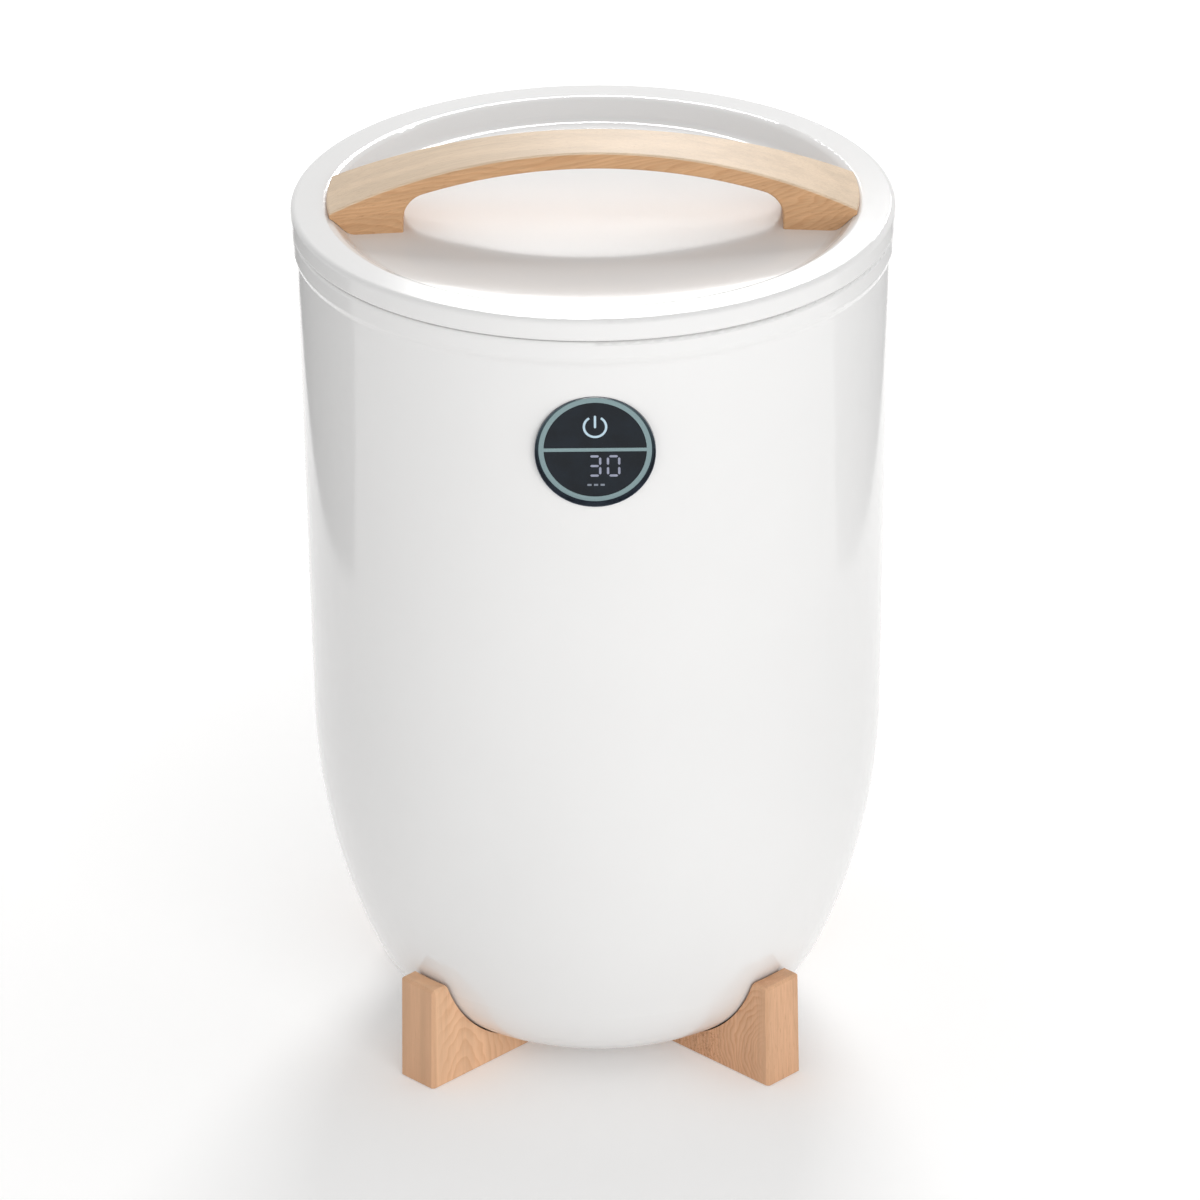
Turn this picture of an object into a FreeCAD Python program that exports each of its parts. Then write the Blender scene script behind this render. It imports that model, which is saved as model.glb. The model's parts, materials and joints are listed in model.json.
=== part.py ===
import FreeCAD, Part
import math
import os

from FreeCAD import Vector

# Bucket towel warmer: a round insulated bucket on a crossed wooden base, with a lift-off lid,
# a wooden lid handle and a round control panel that holds a power button and a timer window.
# Millimetres. The origin is on the floor under the centre, +Z is up, the control panel faces -Y
# and the lid handle runs along X.

# Clearances that all pieces share
seat_gap = 0.2
slide_gap = 0.3
overrun = 2.0

# Outer shell, in two halves: a tapered side, a long belly curve and a tighter curve down to a flat base
shell_top_radius = 162.3
shell_top_z = 465.0
side_taper = 3.3
side_low_z = 193.0
belly_draw = 29.1
belly_low_z = 54.6
base_draw = 35.9
base_z = 15.2
shell_wall = 3.0

# Collar on the shell's top edge
collar_step = 2.0
collar_height = 16.1
collar_swell = 7.0
collar_bucket_gap = 1.6
collar_plate = 3.0
collar_edge_round = 2.0
spigot_depth = 7.0
spigot_wall = 2.5

# Inner bucket, hung by its flange from the collar and kept clear of the control panel's back
bucket_panel_gap = 0.4
bucket_taper = 10.0
bucket_room = 110.5
bucket_corner = 25.0
bucket_wall = 1.2
bucket_flange = 9.0

# Heater band and insulation round the bucket
heater_low = 45.0
heater_height = 160.0
heater_thickness = 2.0
jacket_step = 3.0
jacket_top_gap = 2.3
jacket_thickness = 7.5
jacket_slot_gap = 2.0
pad_inset = 17.0
pad_thickness = 12.0
pad_slot_end = 3.0
pad_slot_side = 7.0

# Thermostat, thermal fuse and the strap that presses them to the bucket's underside
thermostat_cap_radius = 8.0
thermostat_cap_height = 4.0
thermostat_radius = 7.0
thermostat_height = 11.0
tab_spacing = 6.0
tab_width = 4.0
tab_thickness = 0.8
tab_length = 8.0
fuse_radius = 2.0
fuse_length = 14.0
fuse_gap = 8.0
fuse_holder_length = 16.0
fuse_holder_width = 10.0
strap_end = 7.0
strap_width = 14.0
strap_thickness = 1.0
strap_window_radius = 5.5
stud_radius = 2.0
stud_length = 18.0
stud_fuse_gap = 3.0
stud_nut_flats = 7.0
stud_nut_height = 3.2

# Floor plate and power board
plate_inset = 8.0
plate_thickness = 1.5
board_length = 100.0
board_width = 70.0
board_thickness = 1.6
standoff_height = 8.0
standoff_radius = 3.5
standoff_inset = 6.0
board_screw_radius = 1.5
board_screw_length = 7.0
board_screw_head_radius = 2.8
board_screw_head_height = 1.8
relay_length = 28.0
relay_width = 14.0
relay_height = 19.0
relay_inset = 24.0
relay_y = 12.0
terminal_length = 14.0
terminal_width = 26.0
terminal_height = 14.0
terminal_inset = 18.0
connector_length = 14.0
connector_width = 8.0
connector_height = 8.0
connector_inset = 7.0

# Inner leads
loom_radius = 1.8
loom_bend = 14.0
loom_rise = 24.0
loom_turn_step = 6.3
loom_wall_gap = 1.5
loom_entry = 8.0
heater_lead_radius = 1.0
heater_lead_bend = 12.0
heater_lead_rise = 22.0
heater_lead_spacing = 10.0

# Cord gland low at the back
gland_step = 9.3
gland_bore_radius = 4.0
gland_stem_radius = 8.0
gland_stem_end = 1.5
gland_flange_radius = 11.0
gland_flange_proud = 4.5
gland_edge_round = 1.5
gland_nut_wall = 2.5
gland_nut_height = 5.0

# Crossed wooden base
foot_inset = 16.3
foot_thickness = 26.4
foot_top_z = 62.0
foot_draft = 1.5
foot_relief = 2.5
foot_edge_bevel = 1.4
foot_pad_radius = 9.0
foot_pad_thickness = 3.0
foot_pad_proud = 0.5
foot_pad_inset = 16.5
foot_screw_inset = 24.0
foot_screw_radius = 2.2
foot_screw_length = 15.0
foot_screw_head_radius = 4.4
foot_screw_head_height = 2.6

# Lid cover: a flat rim round a dished floor
lid_step = 0.7
lid_gap = 0.5
lid_side_height = 12.35
lid_wall = 2.5
lid_rim_round = 3.0
lid_skirt_lip = 0.3
rim_liner_step = 0.17
rim_inner_round = 6.0
recess_depth = 10.0
recess_slope = 10.0
recess_floor_round = 9.0

# Lid liner, seal, insulation and their screws
liner_bucket_gap = 2.0
liner_flange_step = 0.8
liner_wall = 1.2
liner_drop = 13.0
liner_round = 6.0
seal_height = 3.2
seal_inset = 1.2
seal_width = 7.8
seal_round = 1.0
foam_inset = 6.0
lid_screw_count = 6
lid_screw_inset = 32.0
lid_screw_radius = 1.6
lid_screw_length = 9.0
lid_screw_head_radius = 3.4
lid_screw_head_height = 1.8
boss_radius = 4.2

# Wooden lid handle
handle_rise = 33.75
handle_end_rise = 2.3
handle_thickness = 9.5
handle_mid_width = 35.0
handle_end_width = 52.5
handle_rim_lap = 0.4
handle_foot_length = 42.1
handle_inner_round = 15.0
handle_edge_round = 1.2
handle_screw_inset = 26.6
handle_screw_spacing = 22.0
handle_screw_radius = 2.0
handle_screw_length = 13.0
handle_screw_head_radius = 4.0
handle_screw_head_height = 2.2

# Round control panel, with depths measured inwards from its front lip
panel_drop = 48.0
panel_lip_radius = 32.2
panel_lip_proud = 0.6
panel_lip_edge = 0.4
panel_lip_width = 0.8
panel_hole_gap = 0.1
panel_tube_wall = 0.9
panel_tube_length = 10.0
dish_depth = 2.7
dish_step = 0.4
frame_gap = 0.1
frame_width = 3.0
frame_thickness = 2.0
divider_width = 2.0
glass_sink = 0.2
glass_thickness = 1.6
glass_gap = 0.15

# Power button behind the upper half of the panel
button_travel = 0.8
carrier_inset = 1.9
carrier_thickness = 1.0
carrier_boss_radius = 2.0
carrier_boss_length = 1.0
switch_inset = 14.4
switch_size = 6.0
switch_height = 2.0
switch_tip_radius = 1.6
switch_tip_length = 0.6
switch_gap = 0.2

# Housing, board and rear cover of the control panel
housing_wall = 1.5
housing_flange_width = 3.1
housing_flange_thickness = 1.6
housing_ear_end = 6.0
housing_ear_height = 14.0
housing_screw_step = 7.5
housing_boss_radius = 3.5
housing_screw_radius = 1.3
housing_screw_length = 4.6
housing_screw_head_radius = 2.4
housing_screw_head_height = 1.4
shoulder_inset = 3.2
shoulder_thickness = 1.2
control_board_gap = 0.2
cover_thickness = 1.2
cover_rib_wall = 2.0
cover_rib_height = 0.5
cover_screw_count = 3
cover_screw_inset = 1.6
cover_screw_radius = 0.8
cover_screw_length = 2.4
cover_screw_head_radius = 1.4
cover_screw_head_height = 0.9
module_side_gap = 3.2
module_bottom_gap = 6.9
module_x = 1.0
module_top_drop = 3.5

# Heights that follow from the sizes above
seam_z = shell_top_z + collar_height
spigot_z = shell_top_z - spigot_depth
panel_z = shell_top_z - panel_drop
bucket_floor_z = base_z + bucket_room
bucket_depth = seam_z - bucket_floor_z
bucket_under_z = bucket_floor_z - bucket_wall
gland_z = bucket_floor_z + gland_step
loom_turn_z = bucket_floor_z + loom_turn_step
lid_bottom_z = seam_z + lid_gap
rim_z = lid_bottom_z + lid_side_height
recess_z = rim_z - recess_depth
liner_flange_z = seam_z + bucket_wall + seal_height
liner_bottom_z = seam_z - liner_drop
plate_z = base_z + shell_wall
board_z = plate_z + plate_thickness + standoff_height
board_top_z = board_z + board_thickness
strap_z = bucket_under_z - thermostat_height - strap_thickness

# Radii and depths of the control panel
panel_tube_radius = panel_lip_radius - panel_lip_width
panel_bore_radius = panel_tube_radius - panel_tube_wall
dish_radius = panel_bore_radius - dish_step
frame_radius = panel_bore_radius - frame_gap
frame_inner_radius = frame_radius - frame_width
carrier_radius = frame_radius - carrier_inset
shoulder_radius = frame_radius - shoulder_inset
housing_flange_radius = frame_radius + housing_flange_width
housing_screw_spacing = 2 * (housing_flange_radius + housing_screw_step)
housing_ear_span = housing_screw_spacing + 2 * housing_ear_end
cover_screw_place = housing_flange_radius - cover_screw_inset
switch_place = frame_inner_radius - switch_inset
module_bottom = frame_inner_radius - module_bottom_gap
module_height = module_bottom - module_top_drop
module_length = 2 * (math.sqrt(frame_inner_radius ** 2 - module_bottom ** 2) - module_side_gap)
frame_back = dish_depth + frame_thickness
glass_front = dish_depth + glass_sink
carrier_front = frame_back + seat_gap
carrier_back = carrier_front + carrier_thickness
switch_tip = carrier_back + carrier_boss_length + button_travel + switch_gap
control_board_front = switch_tip + switch_tip_length + switch_height
cover_front = control_board_front + board_thickness + cover_rib_height
housing_flange_front = cover_front - housing_flange_thickness
panel_back = cover_front + cover_thickness + cover_screw_head_height

# Radii of the body, bucket, base and gland
side_low_radius = shell_top_radius - side_taper
belly_low_radius = side_low_radius - belly_draw
base_radius = belly_low_radius - base_draw
side_slope = side_taper / (shell_top_z - side_low_z)
panel_y = side_slope * panel_drop - shell_top_radius - panel_lip_proud
bucket_slope = bucket_taper / (bucket_depth - bucket_corner)
panel_top_z = panel_z + cover_screw_place + cover_screw_head_radius
bucket_radius = (bucket_slope * (seam_z - panel_top_z) - panel_y - panel_back - bucket_panel_gap
                 - bucket_wall)
bucket_low_radius = bucket_radius - bucket_taper
collar_radius = shell_top_radius + collar_step
collar_inner_radius = bucket_radius + bucket_wall + collar_bucket_gap
flange_radius = bucket_radius + bucket_wall + bucket_flange
jacket_height = spigot_z - jacket_top_gap - bucket_floor_z - heater_low - jacket_step
jacket_slot = housing_ear_span + 2 * jacket_slot_gap
pad_radius = bucket_low_radius - bucket_corner - pad_inset
plate_radius = base_radius - plate_inset
foot_screw_place = plate_radius - foot_screw_inset
foot_length = 2 * (shell_top_radius - foot_inset)
gland_nut_flats = 2 * (gland_stem_radius + gland_nut_wall)

# Places under the bucket and on the power board
fuse_offset = thermostat_cap_radius + fuse_gap + fuse_holder_length / 2
stud_x = fuse_offset + fuse_holder_length / 2 + stud_fuse_gap + stud_radius
strap_length = 2 * (stud_x + strap_end)
pad_slot_length = strap_length + 2 * pad_slot_end
pad_slot_width = 2 * (thermostat_cap_radius + pad_slot_side)
relay_x = relay_inset - board_length / 2
terminal_x = board_length / 2 - terminal_inset
connector_y = connector_inset - board_width / 2

# Radii and places of the lid
lid_radius = collar_radius + lid_step
lid_skirt_round = lid_wall - lid_skirt_lip
liner_radius = bucket_radius - liner_bucket_gap
rim_inner_radius = liner_radius - rim_liner_step
recess_floor_radius = rim_inner_radius - recess_slope
liner_flange_radius = flange_radius + liner_flange_step
seal_inner_radius = bucket_radius + seal_inset
seal_outer_radius = seal_inner_radius + seal_width
foam_radius = recess_floor_radius - foam_inset
lid_screw_place = recess_floor_radius - lid_screw_inset
handle_end_radius = rim_inner_radius + handle_rim_lap
handle_foot_inner = handle_end_radius - handle_foot_length
handle_screw_x = handle_end_radius - handle_screw_inset
handle_sag = handle_rise - handle_end_rise
handle_top_arc = (handle_end_radius ** 2 + handle_sag ** 2) / (2 * handle_sag)

UP = Vector(0, 0, 1)
INWARD = Vector(0, 1, 0)
ORIGIN = Vector(0, 0, 0)


# Shared outlines and solids

def bend_centre(start, heading, end):
    """Centre of the arc in the XZ plane that leaves start along heading and reaches end."""
    normal = Vector(heading.z, 0, -heading.x)
    chord = end - start
    return start + normal * (chord.dot(chord) / (2 * chord.dot(normal)))


def arc_about(centre, start, end):
    """Arc about a centre, by the shorter way from start to end."""
    radius = (start - centre).Length
    middle = centre + (start + end - centre * 2).normalize() * radius
    return Part.Arc(start, middle, end).toShape()


def line(start, end):
    return Part.LineSegment(start, end).toShape()


def corner_arc(before, corner, after, radius):
    """First, middle and last point of the arc that rounds a corner."""
    back = (before - corner).normalize()
    ahead = (after - corner).normalize()
    half = back.getAngle(ahead) / 2
    setback = radius / math.tan(half)
    reach = radius / math.sin(half) - radius
    middle = corner + (back + ahead).normalize() * reach
    return corner + back * setback, middle, corner + ahead * setback


def outline(*corners):
    """Closed wire in the XZ plane. Each corner is (x, z) or (x, z, round)."""
    spots = [Vector(corner[0], 0, corner[1]) for corner in corners]
    edges = []
    ends = []
    for index, corner in enumerate(corners):
        spot = spots[index]
        first, last = spot, spot
        if len(corner) > 2:
            after = spots[(index + 1) % len(spots)]
            first, middle, last = corner_arc(spots[index - 1], spot, after, corner[2])
            edges.append(Part.Arc(first, middle, last).toShape())
        ends.append((first, last))
    for index, (first, last) in enumerate(ends):
        following = ends[(index + 1) % len(ends)]
        edges.append(line(last, following[0]))
    return Part.Wire(Part.__sortEdges__(edges))


def spin(wire):
    """Solid of revolution about Z from a wire in the XZ plane."""
    return Part.Face(wire).revolve(ORIGIN, UP, 360)


def column(radius, x, y, low, high):
    """Upright cylinder."""
    return Part.makeCylinder(radius, high - low, Vector(x, y, low), UP)


def block(length, width, height, x, y, low):
    """Box centred on x and y, standing on the height low."""
    return Part.makeBox(length, width, height, Vector(x - length / 2, y - width / 2, low))


def hexagon(flats, height, base, direction):
    """Hexagonal prism with its base centre at base."""
    corner = flats / math.sqrt(3)
    spots = [Vector(corner * math.cos(math.pi * side / 3), corner * math.sin(math.pi * side / 3), 0)
             for side in range(7)]
    prism = Part.Face(Part.makePolygon(spots)).extrude(Vector(0, 0, height))
    prism.Placement = FreeCAD.Placement(base, FreeCAD.Rotation(UP, direction))
    return prism


def screw(seat, direction, radius, length, head_radius, head_height):
    """Screw whose head sits on seat and whose shank runs along direction, with a socket in its head."""
    shank = Part.makeCylinder(radius, length, seat, direction)
    head = Part.makeCylinder(head_radius, head_height, seat, direction * -1)
    socket_depth = head_height / 2
    top = seat - direction * head_height
    socket = Part.makeCylinder(head_radius / 2, socket_depth, top, direction)
    return shank.fuse(head.cut(socket)).removeSplitter()


def screw_hole(seat, direction, radius, length):
    """Hole for a screw's shank, open at the seat."""
    start = seat - direction * overrun
    return Part.makeCylinder(radius + seat_gap, length + overrun + seat_gap, start, direction)


def lead(points, radius, bend):
    """Round lead along straight runs that are joined by arcs."""
    edges = []
    start = points[0]
    for before, corner, after in zip(points, points[1:], points[2:]):
        first, middle, last = corner_arc(before, corner, after, bend)
        edges.append(line(start, first))
        edges.append(Part.Arc(first, middle, last).toShape())
        start = last
    edges.append(line(start, points[-1]))
    section = Part.Wire(Part.Circle(points[0], points[1] - points[0], radius).toShape())
    return Part.Wire(edges).makePipeShell([section], True, True)


# Body outline

def body_curves():
    """Points and arc centres of the shell's outside, from the top edge to the base."""
    top = Vector(shell_top_radius, 0, shell_top_z)
    low = Vector(side_low_radius, 0, side_low_z)
    belly = Vector(belly_low_radius, 0, belly_low_z)
    base = Vector(base_radius, 0, base_z)
    down = (low - top).normalize()
    belly_centre = bend_centre(low, down, belly)
    inward = (belly_centre - belly).normalize()
    base_centre = bend_centre(belly, Vector(-inward.z, 0, inward.x), base)
    return top, low, belly, base, belly_centre, base_centre


def toward(point, centre, distance):
    return point + (centre - point).normalize() * distance


def body_solid(inset):
    """The body's outside moved inwards by inset, as one filled solid."""
    top, low, belly, base, belly_centre, base_centre = body_curves()
    rim = Vector(top.x - inset * math.hypot(1, side_slope), 0, top.z)
    low = toward(low, belly_centre, inset)
    belly = toward(belly, belly_centre, inset)
    base_arc = (base - base_centre).Length - inset
    floor_z = base_z + inset
    base = Vector(base_centre.x + math.sqrt(base_arc ** 2 - (base_centre.z - floor_z) ** 2), 0, floor_z)
    edges = [
        line(rim, low),
        arc_about(belly_centre, low, belly),
        arc_about(base_centre, belly, base),
        line(base, Vector(0, 0, floor_z)),
        line(Vector(0, 0, floor_z), Vector(0, 0, top.z)),
        line(Vector(0, 0, top.z), rim),
    ]
    return spin(Part.Wire(edges))


def belly_radius(z, inset):
    """Radius of the belly curve, moved inwards by inset, at a height."""
    top, low, belly, base, centre, base_centre = body_curves()
    reach = (low - centre).Length - inset
    return centre.x + math.sqrt(reach ** 2 - (z - centre.z) ** 2)


def bucket_outside(z):
    """Outer radius of the bucket's straight wall at a height."""
    return bucket_radius + bucket_wall - bucket_slope * (seam_z - z)


def wall_band(low, height, offset, thickness):
    """Band round the bucket's wall, starting low above the bucket's floor."""
    low_z = bucket_floor_z + low
    high_z = low_z + height
    near_low = bucket_outside(low_z) + offset
    near_high = bucket_outside(high_z) + offset
    return spin(outline((near_low, low_z), (near_low + thickness, low_z),
                        (near_high + thickness, high_z), (near_high, high_z)))


# Screw places: each is a list of (seat, direction)

def ring_of(count, place, z, turn):
    """Points spaced evenly on a circle."""
    angles = [turn + 2 * math.pi * index / count for index in range(count)]
    return [Vector(place * math.cos(angle), place * math.sin(angle), z) for angle in angles]


def foot_screw_seats():
    return ring_of(4, foot_screw_place, plate_z + plate_thickness, math.pi / 4)


def board_corners(z):
    x = board_length / 2 - standoff_inset
    y = board_width / 2 - standoff_inset
    return [Vector(side_x * x, side_y * y, z) for side_x in (-1, 1) for side_y in (-1, 1)]


def lid_screw_seats():
    return ring_of(lid_screw_count, lid_screw_place, liner_bottom_z, math.pi / 2)


def handle_screw_seats():
    y = handle_screw_spacing / 2
    z = recess_z - lid_wall
    return [Vector(side_x * handle_screw_x, side_y * y, z) for side_x in (-1, 1) for side_y in (-1, 1)]


def panel_point(x, z, depth):
    """Point of the control panel, by its offsets from the panel's centre and its depth."""
    return Vector(x, panel_y + depth, panel_z + z)


def housing_screw_seats():
    x = housing_screw_spacing / 2
    return [panel_point(side * x, 0, cover_front) for side in (-1, 1)]


def cover_screw_seats():
    back = cover_front + cover_thickness
    spots = ring_of(cover_screw_count, cover_screw_place, 0, math.pi / 2)
    return [panel_point(spot.x, spot.y, back) for spot in spots]


def cut_all(shape, cutters):
    for cutter in cutters:
        shape = shape.cut(cutter)
    return shape


def panel_disc(radius, front, back):
    """Disc of the control panel between two depths."""
    return Part.makeCylinder(radius, back - front, panel_point(0, 0, front), INWARD)


def panel_block(length, height, x, z, front, back):
    """Block of the control panel, centred on x and z, between two depths."""
    corner = panel_point(x - length / 2, z - height / 2, front)
    return Part.makeBox(length, back - front, height, corner)


def panel_half(radius, margin, side, front, back):
    """Half disc above (side 1) or below (side -1) the panel's divider."""
    start = side * margin
    middle = start + side * radius / 2
    return panel_disc(radius, front, back).common(panel_block(2 * radius, radius, 0, middle, front, back))


# Shell, collar and bucket

def make_shell():
    """Both halves of the shell in one, with every hole that goes through them."""
    bosses = [Part.makeCylinder(housing_boss_radius, housing_flange_front, panel_point(side, 0, 0), INWARD)
              for side in (-housing_screw_spacing / 2, housing_screw_spacing / 2)]
    half_wall = body_solid(shell_wall / 2)
    shell = body_solid(0).cut(body_solid(shell_wall))
    for boss in bosses:
        shell = shell.fuse(boss.common(half_wall))
    cutters = [panel_disc(panel_tube_radius + panel_hole_gap, 0, housing_flange_front)]
    cutters += [screw_hole(seat, INWARD * -1, housing_screw_radius, housing_screw_length)
                for seat in housing_screw_seats()]
    cutters += [screw_hole(seat, UP * -1, foot_screw_radius, foot_screw_length)
                for seat in foot_screw_seats()]
    gland_hole = gland_stem_radius + panel_hole_gap
    cutters.append(Part.makeCylinder(gland_hole, collar_radius, Vector(0, 0, gland_z), INWARD))
    return cut_all(shell, cutters).removeSplitter()


def shell_half(side):
    """Front (side -1) or back (side 1) half of the shell. The collar's spigot and the foot screws hold them."""
    room = block(2 * collar_radius, collar_radius, seam_z, 0, side * collar_radius / 2, 0)
    return make_shell().common(room)


def make_top_collar():
    low = Vector(shell_top_radius, 0, shell_top_z)
    high = Vector(collar_radius, 0, shell_top_z + collar_swell)
    middle = (low + high) * (1 / 2)
    top = Vector(collar_radius, 0, seam_z)
    inner = Vector(collar_inner_radius, 0, seam_z)
    first, bend, last = corner_arc(high, top, inner, collar_edge_round)
    under_z = seam_z - collar_plate
    spigot_radius = shell_top_radius - shell_wall * math.hypot(1, side_slope) - seat_gap
    inside = spigot_radius - spigot_wall
    turns = [inner, Vector(collar_inner_radius, 0, under_z), Vector(inside, 0, under_z),
             Vector(inside, 0, spigot_z), Vector(spigot_radius - side_slope * spigot_depth, 0, spigot_z),
             Vector(spigot_radius, 0, shell_top_z), low]
    edges = [
        arc_about(bend_centre(low, UP, middle), low, middle),
        arc_about(bend_centre(high, UP * -1, middle), middle, high),
        line(high, first),
        Part.Arc(first, bend, last).toShape(),
        line(last, inner),
    ]
    edges += [line(start, end) for start, end in zip(turns, turns[1:])]
    return spin(Part.Wire(edges))


def bucket_solid(offset):
    """The bucket's inside grown by offset, as one filled solid up to its mouth."""
    mouth = Vector(bucket_radius + offset, 0, seam_z)
    low = Vector(bucket_low_radius + offset, 0, bucket_floor_z + bucket_corner)
    floor_z = bucket_floor_z - offset
    floor = Vector(bucket_low_radius - bucket_corner, 0, floor_z)
    corner_centre = bend_centre(low, (low - mouth).normalize(), floor)
    edges = [
        line(mouth, low),
        arc_about(corner_centre, low, floor),
        line(floor, Vector(0, 0, floor_z)),
        line(Vector(0, 0, floor_z), Vector(0, 0, seam_z)),
        line(Vector(0, 0, seam_z), mouth),
    ]
    return spin(Part.Wire(edges))


def make_inner_bucket():
    flange = column(flange_radius, 0, 0, seam_z, seam_z + bucket_wall)
    mouth = column(bucket_radius, 0, 0, seam_z, seam_z + bucket_wall)
    wall = bucket_solid(bucket_wall).cut(bucket_solid(0))
    return wall.fuse(flange.cut(mouth)).removeSplitter()


# Heater, insulation and heat guards

def make_heater_band():
    return wall_band(heater_low, heater_height, seat_gap, heater_thickness)


def make_insulation_jacket():
    offset = heater_thickness + 2 * seat_gap
    jacket = wall_band(heater_low + jacket_step, jacket_height, offset, jacket_thickness)
    slot = block(jacket_slot, collar_radius, shell_top_z, 0, -collar_radius / 2, 0)
    return jacket.cut(slot)


def make_base_insulation():
    high = bucket_under_z - seat_gap
    pad = column(pad_radius, 0, 0, high - pad_thickness, high)
    return pad.cut(block(pad_slot_length, pad_slot_width, bucket_under_z, 0, 0, 0))


def make_thermostat():
    cap_z = bucket_under_z - thermostat_cap_height
    low = bucket_under_z - thermostat_height
    shape = column(thermostat_cap_radius, 0, 0, cap_z, bucket_under_z)
    shape = shape.fuse(column(thermostat_radius, 0, 0, low, cap_z))
    for x in (-tab_spacing / 2, tab_spacing / 2):
        shape = shape.fuse(block(tab_thickness, tab_width, tab_length, x, 0, low - tab_length))
    return shape.removeSplitter()


def fuse_centre(length):
    """Start of the fuse's axis for a length centred on its holder."""
    return Vector(fuse_offset - length / 2, 0, bucket_under_z - thermostat_height / 2)


def make_fuse_holder():
    low = bucket_under_z - thermostat_height
    holder = block(fuse_holder_length, fuse_holder_width, thermostat_height, fuse_offset, 0, low)
    bore_length = fuse_holder_length + 2 * overrun
    return holder.cut(Part.makeCylinder(fuse_radius + seat_gap, bore_length, fuse_centre(bore_length),
                                        Vector(1, 0, 0)))


def make_thermal_fuse():
    return Part.makeCylinder(fuse_radius, fuse_length, fuse_centre(fuse_length), Vector(1, 0, 0))


def stud_places(z):
    return [Vector(side * stud_x, 0, z) for side in (-1, 1)]


def make_sensor_strap():
    strap = block(strap_length, strap_width, strap_thickness, 0, 0, strap_z)
    high = strap_z + strap_thickness
    window = column(strap_window_radius, 0, 0, strap_z, high)
    holes = [column(stud_radius + seat_gap, place.x, place.y, strap_z, high) for place in stud_places(0)]
    return cut_all(strap, [window] + holes)


def make_strap_studs():
    low = bucket_under_z - stud_length
    return Part.makeCompound([column(stud_radius, place.x, place.y, low, bucket_under_z)
                              for place in stud_places(0)])


def make_strap_nuts():
    low = strap_z - stud_nut_height
    nuts = []
    for place in stud_places(low):
        hole = column(stud_radius + seat_gap / 2, place.x, place.y, low, strap_z)
        nuts.append(hexagon(stud_nut_flats, stud_nut_height, place, UP).cut(hole))
    return Part.makeCompound(nuts)


# Floor plate, power board and leads

def make_floor_plate():
    plate = column(plate_radius, 0, 0, plate_z, plate_z + plate_thickness)
    return cut_all(plate, [screw_hole(seat, UP * -1, foot_screw_radius, foot_screw_length)
                           for seat in foot_screw_seats()])


def make_board_standoffs():
    low = plate_z + plate_thickness
    standoffs = []
    for corner in board_corners(board_top_z):
        post = column(standoff_radius, corner.x, corner.y, low, board_z)
        standoffs.append(post.cut(screw_hole(corner, UP * -1, board_screw_radius, board_screw_length)))
    return Part.makeCompound(standoffs)


def make_power_board():
    board = block(board_length, board_width, board_thickness, 0, 0, board_z)
    return cut_all(board, [screw_hole(corner, UP * -1, board_screw_radius, board_screw_length)
                           for corner in board_corners(board_top_z)])


def make_board_screws():
    return Part.makeCompound([screw(corner, UP * -1, board_screw_radius, board_screw_length,
                                    board_screw_head_radius, board_screw_head_height)
                              for corner in board_corners(board_top_z)])


def make_power_relay():
    return block(relay_length, relay_width, relay_height, relay_x, relay_y, board_top_z)


def make_terminal_block():
    return block(terminal_length, terminal_width, terminal_height, terminal_x, 0, board_top_z)


def make_loom_connector():
    return block(connector_length, connector_width, connector_height, 0, connector_y, board_top_z)


def loom_points():
    start_z = board_top_z + connector_height
    turn_y = -(belly_radius(loom_turn_z, shell_wall) - loom_wall_gap - loom_radius)
    end = panel_point(0, -module_bottom - seat_gap, (carrier_back + control_board_front) / 2)
    entry = Vector(0, end.y, panel_z - housing_flange_radius - loom_entry)
    return [Vector(0, connector_y, start_z), Vector(0, connector_y, start_z + loom_rise),
            Vector(0, turn_y, loom_turn_z), entry, end]


def make_signal_loom():
    return lead(loom_points(), loom_radius, loom_bend)


def make_heater_leads():
    start_z = board_top_z + terminal_height
    end_z = bucket_floor_z + heater_low
    leads = []
    for y in (-heater_lead_spacing / 2, heater_lead_spacing / 2):
        reach = bucket_outside(end_z) + seat_gap + heater_lead_radius
        points = [Vector(terminal_x, y, start_z), Vector(terminal_x, y, start_z + heater_lead_rise),
                  Vector(reach, y, bucket_under_z), Vector(reach, y, end_z - seat_gap)]
        leads.append(lead(points, heater_lead_radius, heater_lead_bend))
    return Part.makeCompound(leads)


# Cord gland

def gland_nut_y():
    """Inner face of the nut, which stands against the lowest part of the wall that it covers."""
    corner = gland_nut_flats / math.sqrt(3)
    return belly_radius(gland_z - corner, shell_wall) - seat_gap - gland_nut_height


def gland_inner_y():
    return gland_nut_y() - gland_stem_end


def make_cord_gland():
    surface = belly_radius(gland_z, 0)
    end = surface + gland_flange_proud
    wide = column(gland_flange_radius, 0, 0, surface - shell_wall, end)
    rounded = wide.makeFillet(gland_edge_round, [edge for edge in wide.Edges
                                                 if edge.BoundBox.ZMin > surface])
    rounded = rounded.fuse(column(gland_stem_radius, 0, 0, gland_inner_y(), surface))
    bore = column(gland_bore_radius, 0, 0, gland_inner_y() - overrun, end + overrun)
    gland = rounded.cut(bore)
    gland.Placement = FreeCAD.Placement(Vector(0, 0, gland_z), FreeCAD.Rotation(UP, INWARD))
    stem_zone = Part.makeCylinder(gland_stem_radius, surface, Vector(0, 0, gland_z), INWARD)
    return gland.cut(body_solid(-seat_gap).cut(stem_zone))


def make_gland_nut():
    base = Vector(0, gland_nut_y(), gland_z)
    hole = Part.makeCylinder(gland_stem_radius + panel_hole_gap, gland_nut_height, base, INWARD)
    return hexagon(gland_nut_flats, gland_nut_height, base, INWARD).cut(hole)


# Crossed wooden base

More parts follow.
